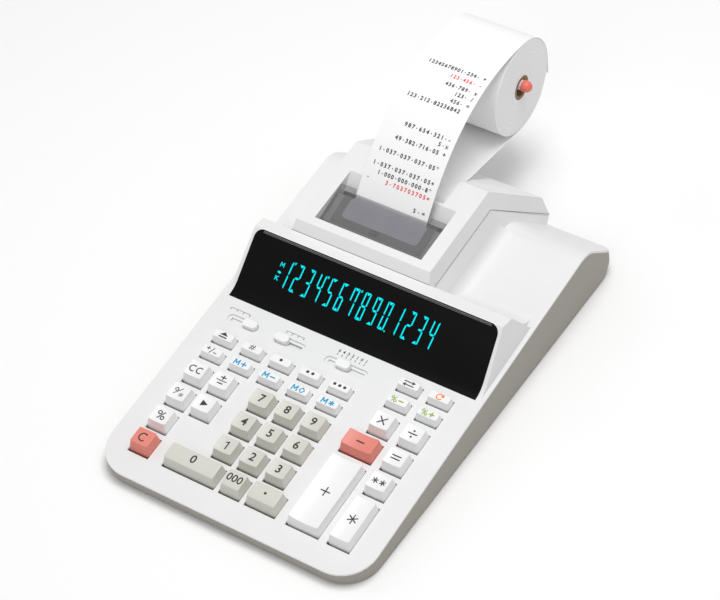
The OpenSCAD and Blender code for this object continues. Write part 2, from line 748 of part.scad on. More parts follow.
module main_board() {
  color("darkgreen") on_deck() {
    box([-board_half, board_front, board_z - board_t], [board_half, board_back, board_z]);
    for (x = [-60, -20, 30, 65]) translate([x, board_back - 10, board_z - 0.1])
      cylinder(r = 5, h = 12, $fn = smooth);
    box([-12, panel_y + 8, board_z - 0.1], [22, panel_y + 20, board_z + 2.5]);
  }
}

// ---- case ----------------------------------------------------------------

screw_r = 1.5;
boss_r = 3.5;
screw_x = body_w / 2 - 12.5;
front_screw_y = 12;
rear_screw_y = deck_end - 5;
// Each screw place is x, y, the height at which the two shells' posts meet.
screw_places = [for (side = [-1, 1], end = [[front_screw_y, -6], [rear_screw_y, -22]])
  [side * screw_x, end[0], end[1]]];

// The skin of the upper case: its full outline down to the split, then inside the lower case.
module skin() {
  intersection() {
    x_slab(concat(top_line(0), turned(top_line(split_h))), -body_w, body_w);
    plan(0);
  }
  intersection() {
    x_slab(concat(top_line(split_h, wall + seat), turned(top_line(wall, wall + seat))), -body_w, body_w);
    plan(wall + seat);
  }
}

module upper_case() {
  color([0.9, 0.9, 0.9]) on_deck() difference() {
    union() {
      skin();
      pod(0, -split_h);
      hump(0, -split_h);
      for (place = screw_places) intersection() {
        translate([place[0], place[1], place[2]]) cylinder(r = boss_r, h = -place[2] - 0.5, $fn = smooth);
        x_slab(case_outline(split_h, 0), -body_w, body_w);
      }
    }
    pod(shell_top, -12);
    difference() {
      hump(wall, -12);
      pod(0, -12);
    }
    intersection() {
      hump(wall, -12);
      x_slab([[cover_y + wall, -12], [cover_y + wall, 60], [pod_foot_y + 1, 60], [pod_foot_y + 1, -12]],
        -body_w, body_w);
    }
    intersection() {
      hump(-fit, -3);
      above_seam();
    }
    panel_block(2, seat);
    behind_panel() box([-tube_w / 2 - fit, -tube_d - 7.5, -12], [tube_w / 2 + fit, -4.5 + fit, 0]);
    for (place = KEYS) box(
      [place[0] - place[2] / 2 - key_gap, place[1] - place[3] / 2 - key_gap, -5],
      [place[0] + place[2] / 2 + key_gap, place[1] + place[3] / 2 + key_gap, 5]);
    for (place = SWITCHES) slot_cut(place);
    for (place = screw_places) translate([place[0], place[1], place[2] - 1])
      cylinder(r = screw_r, h = 4.5, $fn = smooth);
  }
}

gland_x = 62;
gland_at = ([body_d, end_z] + [rear_foot_y, rear_foot_z]) / 2;
gland_turn = atan2(rear_foot_z - end_z, rear_foot_y - body_d);
cord_r = 4;

// Places a piece on the sloping rear wall, with +z out of the case.
module on_rear_wall() {
  translate([gland_x, gland_at[0], gland_at[1]]) rotate([gland_turn, 0, 0]) children();
}

module lower_case() {
  color([0.58, 0.56, 0.53]) difference() {
    on_deck() difference() {
      union() {
        difference() {
          intersection() {
            x_slab(case_outline(split_h, 0), -body_w, body_w);
            plan(0);
          }
          intersection() {
            x_slab(case_outline(-20, wall), -body_w, body_w);
            plan(wall);
          }
        }
        for (place = screw_places) intersection() {
          translate([place[0], place[1], -70]) cylinder(r = boss_r + 1, h = 70 + place[2], $fn = smooth);
          x_slab(case_outline(split_h, wall / 2), -body_w, body_w);
        }
        for (x = [-66, -22, 22, 66]) x_slab(
          [[30, underside_z(30) + 1], [30, board_z - board_t], [board_back, board_z - board_t],
           [board_back, underside_z(board_back) + 1]], x - 0.8, x + 0.8);
        intersection() {
          on_rear_wall() translate([0, 0, -9]) cylinder(r = cord_r + 3, h = 20, $fn = smooth);
          x_slab(case_outline(split_h, 0), -body_w, body_w);
        }
      }
      for (place = screw_places) {
        translate([place[0], place[1], -70]) cylinder(r = screw_r + 0.1, h = 80, $fn = smooth);
        translate([place[0], place[1], underside_z(place[1]) - 5]) cylinder(r = 3.1, h = 7, $fn = smooth);
      }
      on_rear_wall() translate([0, 0, -14]) cylinder(r = cord_r, h = 30, $fn = smooth);
      link(arm_root, arm_elbow, arm_w + 2 * seat, arm_right - arm_t - seat, arm_right + seat);
    }
    for (place = foot_places) translate([place[0], place[1], -1])
      cylinder(r = foot_r + seat, h = foot_h + 2, $fn = smooth);
  }
}

foot_places = [for (x = [-1, 1], y = [origin_y + 24, origin_y + body_d - 40]) [x * (body_w / 2 - 32), y]];

module rubber_feet() {
  color([0.2, 0.2, 0.2]) for (place = foot_places) translate([place[0], place[1], 0])
    cylinder(r = foot_r, h = foot_h + 1, $fn = smooth);
}

module case_screws() {
  color("silver") on_deck() for (place = screw_places) translate([place[0], place[1], 0]) {
    head = underside_z(place[1]) + 2;
    translate([0, 0, head - 2]) cylinder(r = 2.8, h = 2, $fn = smooth);
    translate([0, 0, head - 0.5]) cylinder(r = screw_r - running, h = place[2] + 3 - head, $fn = smooth);
  }
}

upper_case();
lower_case();
display_window();
printer_cover();
tear_off_window();
paper_roll();
roll_core();
paper_web();
roll_arm();
spindle_tip();
printer_frame();
feed_roller();
type_drum();
main_board();
display_tube();
dome_sheet();
rubber_feet();
case_screws();
power_knob();
rounding_knob();
decimal_knob();
key_feed();
key_item();
key_cost();
key_sell();
key_margin();
key_sign();
key_memory_plus();
key_memory_minus();
key_memory_subtotal();
key_memory_total();
key_change();
key_reprint();
key_tax_minus();
key_tax_plus();
key_clear_all();
key_markup();
key_seven();
key_eight();
key_nine();
key_multiply();
key_divide();
key_nonadd();
key_backspace();
key_four();
key_five();
key_six();
key_minus();
key_equals();
key_percent();
key_one();
key_two();
key_three();
key_grand_total();
key_plus();
key_clear();
key_zero();
key_triple_zero();
key_decimal();
key_total();
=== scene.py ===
# A desk printing calculator: the looks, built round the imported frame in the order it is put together.
import json
import math
import bmesh
import bpy
import numpy as np
from mathutils import Matrix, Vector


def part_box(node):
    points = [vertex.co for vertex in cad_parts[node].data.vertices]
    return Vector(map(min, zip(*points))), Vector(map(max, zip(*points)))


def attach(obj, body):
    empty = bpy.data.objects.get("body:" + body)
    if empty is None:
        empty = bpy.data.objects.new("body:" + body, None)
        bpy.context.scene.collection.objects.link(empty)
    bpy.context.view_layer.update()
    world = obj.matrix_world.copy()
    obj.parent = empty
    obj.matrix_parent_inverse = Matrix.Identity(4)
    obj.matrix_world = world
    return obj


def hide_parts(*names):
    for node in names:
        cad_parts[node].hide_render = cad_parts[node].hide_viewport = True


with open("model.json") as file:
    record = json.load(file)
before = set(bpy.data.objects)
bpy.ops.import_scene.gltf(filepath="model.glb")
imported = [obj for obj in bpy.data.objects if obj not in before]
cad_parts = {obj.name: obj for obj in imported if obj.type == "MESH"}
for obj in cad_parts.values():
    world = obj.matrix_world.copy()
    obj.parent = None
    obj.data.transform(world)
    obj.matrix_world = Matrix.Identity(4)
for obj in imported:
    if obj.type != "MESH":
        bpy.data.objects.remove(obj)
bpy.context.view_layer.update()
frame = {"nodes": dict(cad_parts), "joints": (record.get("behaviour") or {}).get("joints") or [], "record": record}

# ---- The key deck, the camera and the studio ----------------------------------------------
# The case rests on its feet with its key deck tilted up towards the back. Sizes here are in
# millimetres on that deck: x to the right, y back from the front edge, z square to the deck.

press_axis = next(j["axis"] for j in frame["joints"] if j["name"] == "equals_press")
TILT = math.atan2(press_axis[1], -press_axis[2])
FRONT_EDGE_Z = 11.229  # the deck's front edge above the desk
front_edge = (0.0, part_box("upper_case")[0].y, FRONT_EDGE_Z / 1000)


def on_deck(points):
    """Deck millimetres to metres: turned by the tilt about x, then moved to the front edge."""
    p = np.asarray(points, float).reshape(-1, 3) / 1000
    y = p[:, 1] * math.cos(TILT) - p[:, 2] * math.sin(TILT)
    z = p[:, 1] * math.sin(TILT) + p[:, 2] * math.cos(TILT)
    return np.column_stack([p[:, 0], y, z]) + front_edge


def to_deck(places):
    """Metres to deck millimetres: moved back from the front edge, then turned back by the tilt."""
    x, y, z = 1000 * (np.asarray(places, float).reshape(-1, 3) - front_edge).T
    return np.column_stack([
        x, y * math.cos(TILT) + z * math.sin(TILT), z * math.cos(TILT) - y * math.sin(TILT)])


def node_middle(node):
    """The middle of a CAD node's box, in deck millimetres."""
    return to_deck(np.mean(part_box(node), axis=0))[0]


CAMERA_PLACE = (663.3, -538.7, 1243.0)  # in deck millimetres, and its axes are the deck's too
CAMERA_RIGHT = (0.83543, 0.53040, -0.14398)
CAMERA_UP = (-0.34805, 0.71334, 0.60829)
camera = bpy.data.objects.new("camera", bpy.data.cameras.new("camera"))
bpy.context.scene.collection.objects.link(camera)
camera_axes = np.column_stack([CAMERA_RIGHT, CAMERA_UP, np.cross(CAMERA_RIGHT, CAMERA_UP)])
turn = Matrix.Rotation(TILT, 3, "X") @ Matrix(camera_axes.tolist())
camera.matrix_world = Matrix.Translation(on_deck(CAMERA_PLACE)[0]) @ turn.to_4x4()
camera.data.lens = 117.8
camera.data.clip_end = 20
bpy.context.scene.camera = camera
bpy.context.scene.view_settings.view_transform = "Standard"

FLOOR_REACH = 6
floor_mesh = bpy.data.meshes.new("floor")
floor_corners = [(x * FLOOR_REACH, y * FLOOR_REACH, 0) for x, y in ((-1, -1), (1, -1), (1, 1), (-1, 1))]
floor_mesh.from_pydata(floor_corners, [], [(0, 1, 2, 3)])
floor = bpy.data.objects.new("floor", floor_mesh)
bpy.context.scene.collection.objects.link(floor)
floor_paint = bpy.data.materials.new("floor_paint")
floor_paint.use_nodes = True
floor_paint.node_tree.nodes["Principled BSDF"].inputs["Base Color"].default_value = (0.96, 0.96, 0.96, 1)
floor_paint.node_tree.nodes["Principled BSDF"].inputs["Roughness"].default_value = 0.9
floor_mesh.materials.append(floor_paint)

LIGHTS = {  # name: place in metres, width, watts
    "key_light": ((0.15, 0.15, 1.6), 0.8, 15.5),
    "side_light": ((-1.3, -0.2, 0.9), 0.9, 1.6),
    "front_light": ((0.2, -1.4, 1.1), 1.0, 3.2),
}
for name, (place, width, watts) in LIGHTS.items():
    lamp = bpy.data.lights.new(name, "AREA")
    lamp.size = width
    lamp.energy = watts
    light = bpy.data.objects.new(name, lamp)
    light.location = place
    light.rotation_euler = (-light.location).to_track_quat("-Z", "Y").to_euler()
    bpy.context.scene.collection.objects.link(light)
world = bpy.data.worlds.new("studio")
bpy.context.scene.world = world
world.use_nodes = True
world.node_tree.nodes["Background"].inputs["Color"].default_value = (1, 1, 1, 1)
world.node_tree.nodes["Background"].inputs["Strength"].default_value = 0.42

# ---- Upper and lower case ------------------------------------------------------------------
# Two injection-moulded shells that screw together: white above, warm grey below. Their moulds
# leave a fine spark-eroded texture and a small radius along every edge.


class Socket:
    """A shader output that takes part in sums: each operator adds the Math node for it."""

    def __init__(self, tree, output):
        self.tree = tree
        self.output = output

    def node(self, kind, settings, inputs):
        """Adds a node, sets its settings, then feeds its sockets, named or numbered, with values or links."""
        made = self.tree.nodes.new(kind)
        for key, value in settings.items():
            setattr(made, key, value)
        for key, value in inputs.items():
            if isinstance(value, Socket):
                self.tree.links.new(value.output, made.inputs[key])
            else:
                made.inputs[key].default_value = value
        return Socket(self.tree, made.outputs[0])

    def maths(self, operation, first, second):
        """The Math node of two terms, each a socket or a number."""
        return self.node("ShaderNodeMath", {"operation": operation}, {0: first, 1: second})

    def __add__(self, other):
        return self.maths("ADD", self, other)

    def __radd__(self, other):
        return self.maths("ADD", other, self)

    def __mul__(self, other):
        return self.maths("MULTIPLY", self, other)

    def __rmul__(self, other):
        return self.maths("MULTIPLY", other, self)


def new_material(name):
    """Makes a material, and gives it with its Principled shader and its Object coordinates."""
    material = bpy.data.materials.new(name)
    material.use_nodes = True
    tree = material.node_tree
    place = tree.nodes.new("ShaderNodeTexCoord").outputs["Object"]
    return material, tree.nodes["Principled BSDF"], Socket(tree, place)


def feed(shader, name, value):
    """Links a varying socket into one of the shader's inputs."""
    value.tree.links.new(value.output, shader.inputs[name])


def noise(place, scale, detail):
    """Fractal noise from 0 to 1, with scale cells to a metre."""
    return place.node("ShaderNodeTexNoise", {}, {"Vector": place, "Scale": scale, "Detail": detail})


def tinted(colour, shade):
    """A colour times a varying shade."""
    return shade.node("ShaderNodeVectorMath", {"operation": "SCALE"}, {0: colour, "Scale": shade})


def bumped(height, strength, distance):
    """The normal of a surface that height raises, by up to distance metres at full strength."""
    return height.node("ShaderNodeBump", {}, {"Height": height, "Strength": strength, "Distance": distance})


def plastic(name, colour, roughness, grain=0.0, grain_size=0.5):
    """Moulded plastic: faint uneven colour and gloss, and a bump of fine grain, grain_size mm across."""
    material, shader, place = new_material(name)
    cloud = noise(place, 35.0, 3.0)
    speck = noise(place, 1000 / grain_size, 2.0)
    feed(shader, "Base Color", tinted(colour, cloud * 0.05 + speck * 0.03 + 0.96))
    feed(shader, "Roughness", cloud * 0.08 + (roughness - 0.04))
    if grain:
        feed(shader, "Normal", bumped(speck, grain, 0.00005))
    return material


def piece_of(name, mesh, body, material, crease):
    """Makes a mesh a piece, smooth but for edges that turn by more than crease degrees."""
    mesh.polygons.foreach_set("use_smooth", np.ones(len(mesh.polygons), bool))
    mesh.set_sharp_from_angle(angle=math.radians(crease))
    mesh.materials.clear()
    mesh.materials.append(material)
    piece = bpy.data.objects.new(name, mesh)
    bpy.context.scene.collection.objects.link(piece)
    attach(piece, body)
    return piece


def show(name, points, faces, body, material, crease=30):
    """Makes a piece from points in metres. A closed one whose volume comes out negative is turned outside."""
    mesh = bpy.data.meshes.new(name)
    mesh.from_pydata(points.tolist(), [], faces)
    work = bmesh.new()
    work.from_mesh(mesh)
    if all(edge.is_manifold for edge in work.edges) and work.calc_volume(signed=True) < 0:
        bmesh.ops.reverse_faces(work, faces=work.faces)
        work.to_mesh(mesh)
    work.free()
    return piece_of(name, mesh, body, material, crease)


def shell(node, body, material, width=0.0, crease=28):
    """Stands for a CAD node: its triangles merge into flat faces, and its edges roll over by width mm."""
    mesh = frame["nodes"][node].data.copy()
    work = bmesh.new()
    work.from_mesh(mesh)
    bmesh.ops.remove_doubles(work, verts=work.verts, dist=5e-6)
    bmesh.ops.dissolve_limit(work, angle_limit=math.radians(0.3), verts=work.verts, edges=work.edges)
    work.to_mesh(mesh)
    work.free()
    piece = piece_of(node + "_shell", mesh, body, material, crease)
    if width:
        bevel = piece.modifiers.new("rolled", "BEVEL")
        bevel.width = width / 1000
        bevel.segments = 2
        bevel.limit_method = "ANGLE"
        bevel.angle_limit = math.radians(crease)
        bevel.harden_normals = True
    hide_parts(node)


white_case = plastic("white_case", (0.80, 0.80, 0.805), 0.45, 0.25)
grey_case = plastic("grey_case", (0.335, 0.315, 0.275), 0.5, 0.3)
shell("upper_case", "root", white_case, 0.25)
shell("lower_case", "root", grey_case, 0.3)


def skin(rings):
    """Joins rings of points, each to the next with quads, and closes the first and the last with one face."""
    rings = np.asarray(rings, float)
    grid = np.arange(rings.shape[0] * rings.shape[1]).reshape(rings.shape[:2])
    after = np.roll(grid, -1, axis=1)
    faces = np.stack([grid[:-1], grid[1:], after[1:], after[:-1]], 2).reshape(-1, 4).tolist()
    return rings.reshape(-1, 3), faces + [grid[0].tolist(), grid[-1][::-1].tolist()]


BURIED = 0.3  # how far a soft corner's heel is sunk in the case


def fillet(start, end, wall, floor, reach):
    """A soft corner between two faces: a quadratic curve from reach up the wall to reach along the floor."""
    t = np.linspace(0, 1, 13)[:, None]
    wall, floor = (np.array(way) / np.linalg.norm(way) for way in (wall, floor))
    curve = reach * ((1 - t) ** 2 * wall + t ** 2 * floor)
    profile = np.vstack([curve, -BURIED * (wall + floor)])
    return skin([profile + start, profile + end])


# The printer's hump and the display's back run into the deck in soft corners.
SOFT = 9.0
HUMP_LEFT, HUMP_RIGHT = -82.5, 42.5  # where the hump's leaning sides meet the deck
LEAN_IN, HUMP_HEIGHT = 9.0, 32.5
BACK_FOOT, DECK_END = 221.5, 286.0  # y of the foot of the display's back, and of the deck's far edge
BACK_SIDE = 98.0  # how far the display's back runs from the middle
BACK_LEAN = (0, -0.5, 0.866)
SOFT_CORNERS = {  # name: start, end, the way up the wall and the way along the deck
    "soft_right": ((HUMP_RIGHT, BACK_FOOT - 3, 0), (HUMP_RIGHT, DECK_END, 0),
                   (-LEAN_IN, 0, HUMP_HEIGHT), (1, 0, 0)),
    "soft_left": ((HUMP_LEFT, BACK_FOOT - 3, 0), (HUMP_LEFT, DECK_END, 0),
                  (LEAN_IN, 0, HUMP_HEIGHT), (-1, 0, 0)),
    "soft_back_right": ((HUMP_RIGHT - 2, BACK_FOOT, 0), (BACK_SIDE, BACK_FOOT, 0), BACK_LEAN, (0, 1, 0)),
    "soft_back_left": ((HUMP_LEFT + 2, BACK_FOOT, 0), (-BACK_SIDE, BACK_FOOT, 0), BACK_LEAN, (0, 1, 0)),
}
for name, course in SOFT_CORNERS.items():
    points, faces = fillet(*course, SOFT)
    show(name, on_deck(points), faces, "root", white_case)

# ---- Feet and screws -----------------------------------------------------------------------
# Four moulded rubber discs stand the case on the desk, pressed into its underside. Four plated
# steel screws hold its two shells together.

foot_rubber = plastic("foot_rubber", (0.035, 0.035, 0.035), 0.8, 0.5)
shell("rubber_feet", "root", foot_rubber, 0.3)
screw_steel = plastic("screw_steel", (0.62, 0.62, 0.6), 0.3, 0.2)
screw_steel.node_tree.nodes["Principled BSDF"].inputs["Metallic"].default_value = 1.0
shell("case_screws", "root", screw_steel, 0.1)

# ---- Boards --------------------------------------------------------------------------------
# A moulded rubber sheet of domes springs the keys from below. It lies on a circuit board with a
# green coating, which carries the electrical parts.

shell("dome_sheet", "root", plastic("dome_rubber", (0.5, 0.5, 0.5), 0.7, 0.2))
shell("main_board", "root", plastic("board_green", (0.02, 0.14, 0.05), 0.35, 0.2, 2.0))

# ---- Display -------------------------------------------------------------------------------
# A polished black plate bent up from the deck, over a fluorescent tube whose lit segments show
# through it: fourteen digits with their marks, and three small signs at the left.

panel_black, shader, place = new_material("panel_black")
shader.inputs["Specular IOR Level"].default_value = 0.12
haze = noise(place, 30.0, 2.0)
feed(shader, "Base Color", tinted((0.004, 0.004, 0.0045), haze * 0.4 + 0.8))
feed(shader, "Roughness", haze * 0.03 + 0.2)
shell("display_window", "root", panel_black)
shell("display_tube", "root", plastic("tube_glass", (0.02, 0.035, 0.04), 0.15))

PANEL_SLOPE = math.radians(39.5)
PANEL_TOP = (196.2, 28.75)  # y and z of the plate's upper edge
PROUD = 0.06  # how far printing and lit segments stand off what they are on


def on_panel(flat, down):
    """Flat shapes (x, up) to the plate's straight slope, their zero line down mm below its upper edge."""
    along = down - flat[:, 1]
    y = PANEL_TOP[0] - along * math.cos(PANEL_SLOPE) - PROUD * math.sin(PANEL_SLOPE)
    z = PANEL_TOP[1] - along * math.sin(PANEL_SLOPE) + PROUD * math.cos(PANEL_SLOPE)
    return on_deck(np.column_stack([flat[:, 0], y, z]))


def flat_face(outline):
    """One flat face, from the points of its outline."""
    return np.array(outline, float), [list(range(len(outline)))]


def disc(x, y, radius, sides=16):
    """A filled circle, as points evenly spaced round x, y."""
    angles = np.linspace(0, 2 * math.pi, sides, endpoint=False)
    return flat_face(np.column_stack([x + radius * np.cos(angles), y + radius * np.sin(angles)]))


def bar(x0, y0, x1, y1, thick):
    """A straight stroke between two points, half its thickness to each side of the line."""
    run = np.array([x1 - x0, y1 - y0], float)
    side = np.array([-run[1], run[0]]) / np.hypot(*run) * thick / 2
    a, b = np.array([x0, y0]), np.array([x1, y1])
    return flat_face([a - side, b - side, b + side, a + side])


def strokes(thick, *runs):
    """Straight strokes of one thickness, each a run from x, y to x, y."""
    return [bar(*run, thick) for run in runs]


RING_POINTS = 20  # along each edge of a curved stroke


def open_ring(x, y, radius, thick, start, end):
    """Part of a circle as a stroke, from one angle to another in degrees, between two radii."""
    angles = np.radians(np.linspace(start, end, RING_POINTS))
    spokes = np.column_stack([np.cos(angles), np.sin(angles)])
    points = np.vstack([(radius + thick / 2) * spokes, (radius - thick / 2) * spokes]) + (x, y)
    i = np.arange(RING_POINTS - 1)
    return points, np.stack([i, i + 1, i + 1 + RING_POINTS, i + RING_POINTS], 1).tolist()


def letter_m(x, y, size, thick):
    """A capital M from four strokes, size mm high, its middle at x, y."""
    foot, head, h = size * 0.42, size * 0.42 * 0.86, size / 2
    return strokes(thick, (x - foot, y - h, x - head, y + h), (x + foot, y - h, x + head, y + h),
                   (x - head, y + h * 0.9, x, y - h * 0.45), (x + head, y + h * 0.9, x, y - h * 0.45))


def joined(shapes):
    """Joins flat shapes, each a pair of points and faces, into one pair."""
    points = np.vstack([shape[0] for shape in shapes])
    faces = []
    start = 0
    for shape in shapes:
        faces += [[start + corner for corner in face] for face in shape[1]]
        start += len(shape[0])
    return points, faces


DIGIT_H, DIGIT_W, STROKE, GAP = 19.9, 4.6, 0.95, 0.35
MIDDLE = DIGIT_H / 2
upper_bar = [(0, MIDDLE + GAP + 0.5), (STROKE, MIDDLE + GAP), (STROKE, DIGIT_H - 1), (0, DIGIT_H - 0.1)]
lower_bar = [(x, DIGIT_H - up) for x, up in reversed(upper_bar)]
SEGMENTS = {
    "f": upper_bar,
    "e": lower_bar,
    "b": [(DIGIT_W - x, up) for x, up in reversed(upper_bar)],
    "c": [(DIGIT_W - x, up) for x, up in reversed(lower_bar)],
    "a": [(0.6, DIGIT_H), (2.0, DIGIT_H - 1.9), (2.7, DIGIT_H - 1.9), (DIGIT_W - 0.5, DIGIT_H)],
    "d": [(0.5, 0), (DIGIT_W - 0.6, 0), (2.6, 1.9), (1.9, 1.9)],
    "g": [(0.7, MIDDLE), (1.4, MIDDLE - 0.7), (3.2, MIDDLE - 0.7), (3.9, MIDDLE), (3.2, MIDDLE + 0.7),
          (1.4, MIDDLE + 0.7)],
}
LIT = {"1": "bc", "2": "abged", "3": "abgcd", "4": "fgbc", "5": "afgcd", "6": "afgedc", "7": "fabc",
       "8": "abcdefg", "9": "abcdfg", "0": "abcdef"}
TICK = [(0.55, 18.0), (1.0, 18.3), (1.25, 19.9), (0.75, 19.9)]  # half of a thousands mark
TICK_WIDTH = 0.75
TICKS_AFTER, POINT_AFTER = (0, 3, 6), 9  # places in the number, from its left end
DIGIT_PITCH, FIRST_DIGIT_X, DIGITS_DOWN = 8.95, -67.4, 32.7
DIGIT_LEAN = 0.118  # how far a digit leans over, for each millimetre of its height
lit_shapes = []
for i, digit in enumerate("12345678901234"):
    left = FIRST_DIGIT_X + i * DIGIT_PITCH
    right = left + DIGIT_W
    for segment in LIT[digit]:
        lit_shapes.append(flat_face([(left + x, up) for x, up in SEGMENTS[segment]]))
    if i in TICKS_AFTER:
        lit_shapes.append(flat_face([(right + x, up) for x, up in TICK]))
        lit_shapes.append(flat_face([(right + x + TICK_WIDTH, up) for x, up in TICK]))
    if i == POINT_AFTER:
        lit_shapes.append(disc(right + 1.2, 0.1, 0.55, 12))
minus_sign = [(-71.9, 9.6), (-70.9, 8.8), (-69.4, 8.8), (-68.9, 9.6), (-69.9, 10.4), (-71.4, 10.4)]
letter_k = strokes(0.6, (-71.6, 3.7, -71.6, 6.9), (-71.4, 5.2, -69.4, 6.9), (-71.0, 5.4, -69.2, 3.7))
lit_shapes += [flat_face(minus_sign)] + letter_m(-70.4, 15.2, 3.3, 0.55) + letter_k
points, faces = joined(lit_shapes)
leaning = np.column_stack([points[:, 0] + DIGIT_LEAN * points[:, 1], points[:, 1]])

segment_glow, shader, place = new_material("segment_glow")
shader.inputs["Base Color"].default_value = (0.0, 0.01, 0.01, 1)
shader.inputs["Specular IOR Level"].default_value = 0.1
shader.inputs["Emission Strength"].default_value = 1.0
feed(shader, "Emission Color", tinted((0.0, 0.9, 1.0), noise(place, 900.0, 1.0) * 0.2 + 0.88))
show("display_digits", on_panel(leaning, DIGITS_DOWN), faces, "root", segment_glow)

# Two fine grey lines along the plate's upper edge are painted highlights, where its bevel catches the light.
low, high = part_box("display_window")
line_end = (high.x - low.x) * 500 - 8
points, faces = joined([bar(-line_end, 0, line_end, 0, 0.3), bar(-line_end, -0.9, line_end, -0.9, 0.2)])
show("panel_edge_highlights", on_panel(points, 1.1), faces, "root",
     plastic("edge_highlight_paint", (0.30, 0.30, 0.31), 0.4))

# ---- Keys ----------------------------------------------------------------------------------
# Thirty-nine moulded caps, each on its own plunger. Most are dished across the top; those of the
# bottom row roll over at the front. Marks are printed on the caps, and words are left off.

SKIRT_BOTTOM, SKIRT_TOP = -2.6, 0.3  # a cap's sides go straight up from below the deck, then slope
TAPER = 0.154  # how far a side slopes in, for each millimetre of the cap's height
FRONT_TAPER, BACK_TAPER = 1.7, 0.5  # the front's and the back's slope, in sides' slopes
RIM_R = 0.32  # the edge round a cap's top is rolled over by this radius
TOP_MIDDLE = 0.3  # y of the point that the rings across the top close in on
SIDE_STEPS = 6


def key_ring(half, front, back, radius):
    """A rounded rectangle as points: four quarter arcs, joined by straight sides split into short steps."""
    corners = np.array([[half, back], [-half, back], [-half, front], [half, front]])
    inward = np.array([[-1, -1], [1, -1], [1, 1], [-1, 1]])
    angles = np.radians(np.arange(4)[:, None] * 90 + np.linspace(0, 90, 5)[None, :])
    arcs = (corners + inward * radius)[:, None, :] + radius * np.stack([np.cos(angles), np.sin(angles)], 2)
    ends = np.roll(arcs[:, 0, :], -1, axis=0)
    steps = (np.arange(1, SIDE_STEPS) / SIDE_STEPS)[None, :, None]
    sides = arcs[:, -1:, :] * (1 - steps) + ends[:, None, :] * steps
    return np.concatenate([arcs, sides], axis=1).reshape(-1, 2)


def key_top(x, y, size, dish, roll):
    """The cap's height: dished by a parabola across x, and rolled over by another in front of its middle."""
    width, depth, height = size
    across = np.clip(x / (width / 2), -1, 1)
    ahead = np.clip(-y / (depth / 2), 0, 1)
    return height - dish * (1 - across ** 2) - roll * ahead ** 2


def side_ring(size, dish, roll, share, inset, radius, z):
    """A ring share of the way up the slope, drawn in by inset, and bent to the top's shape as it nears it."""
    width, depth, height = size
    lean = TAPER * height * share
    flat = key_ring(width / 2 - lean - inset, FRONT_TAPER * lean + inset - depth / 2,
                    depth / 2 - BACK_TAPER * lean - inset, radius)
    lift = max(0.0, (z - SKIRT_TOP) / (height - SKIRT_TOP))
    fall = key_top(flat[:, 0], flat[:, 1], size, dish, roll) - height
    return np.column_stack([flat, z + lift * fall])


def key_cap(size, dish, roll):
    """Rings up the cap's sloping sides, over its rolled rim and in across its top, to a point at each end."""
    height = size[2]
    stations = [(0, 0, 1.4, SKIRT_BOTTOM), (0, 0, 1.4, SKIRT_TOP)]
    slope_h = height - SKIRT_TOP - RIM_R
    stations += [(share, 0, 1.3, SKIRT_TOP + share * slope_h) for share in (0.03, 0.5, 0.9)]
    stations += [(1, RIM_R * (1 - math.cos(a)), 1.0, height - RIM_R * (1 - math.sin(a)))
                 for a in np.radians([0, 30, 60, 90])]
    rings = [side_ring(size, dish, roll, *station) for station in stations]
    middle = np.array([0.0, TOP_MIDDLE, 0.0])
    for inner in [middle + share * (rings[-1] - middle) for share in (0.92, 0.75, 0.5, 0.25)]:
        inner[:, 2] = key_top(inner[:, 0], inner[:, 1], size, dish, roll)
        rings.append(inner)
    grid = np.arange(len(rings) * len(rings[0])).reshape(len(rings), -1)
    after = np.roll(grid, -1, axis=1)
    faces = np.stack([grid[:-1], after[:-1], after[1:], grid[1:]], 2).reshape(-1, 4).tolist()
    bottom, tip = grid.size, grid.size + 1
    faces += [[bottom, b, a] for a, b in zip(grid[0].tolist(), after[0].tolist())]
    faces += [[tip, a, b] for a, b in zip(grid[-1].tolist(), after[-1].tolist())]
    ends = [[0, 0, SKIRT_BOTTOM], [0, TOP_MIDDLE, key_top(0.0, TOP_MIDDLE, size, dish, roll)]]
    return np.vstack(rings + ends), faces


def vertex_places(mesh):
    """A mesh's vertices, as an array with a row of x, y and z for each."""
    places = np.zeros(len(mesh.vertices) * 3)
    mesh.vertices.foreach_get("co", places)
    return places.reshape(-1, 3)


DIGIT_SHARE = 0.73  # a digit's height, as a share of the font's size


def lettering(text, size, bold):
    """Digits and signs as flat points and faces, size mm high, their strokes spread by bold to each side."""
    curve = bpy.data.curves.new("lettering", "FONT")
    curve.body = text
    curve.size = size / DIGIT_SHARE
    curve.align_x = "CENTER"
    curve.align_y = "CENTER"
    curve.offset = bold
    curve.resolution_u = 3
    holder = bpy.data.objects.new("lettering", curve)
    bpy.context.scene.collection.objects.link(holder)
    bpy.context.view_layer.update()
    mesh = bpy.data.meshes.new_from_object(holder.evaluated_get(bpy.context.evaluated_depsgraph_get()))
    points = vertex_places(mesh)[:, :2]
    faces = [list(polygon.vertices) for polygon in mesh.polygons]
    bpy.data.objects.remove(holder)
    bpy.data.curves.remove(curve)
    bpy.data.meshes.remove(mesh)
    return points, faces


def digit_mark(text):
    """A digit from the font, but a one drawn as an upright with its flag."""
    if text == "1":
        return [bar(0.5, -3.1, 0.5, 3.1, 0.95), bar(-1.5, 1.7, 0.4, 2.8, 0.85)]
    return [lettering(text, 6.2, 0.17)]


def memory_mark(sign):
    """A capital M and the sign after it."""
    return letter_m(-2.7, 0, 4.4, 0.95) + sign


def percent_mark(x, y, size):
    """Two small rings either side of a stroke."""
    r, thick = size * 0.2, 0.3 + size * 0.08
    rings = [open_ring(x - side * size * 0.29, y + side * size * 0.27, r, thick, 0, 360) for side in (1, -1)]
    return rings + [bar(x - size * 0.3, y - size * 0.5, x + size * 0.3, y + size * 0.5, thick)]


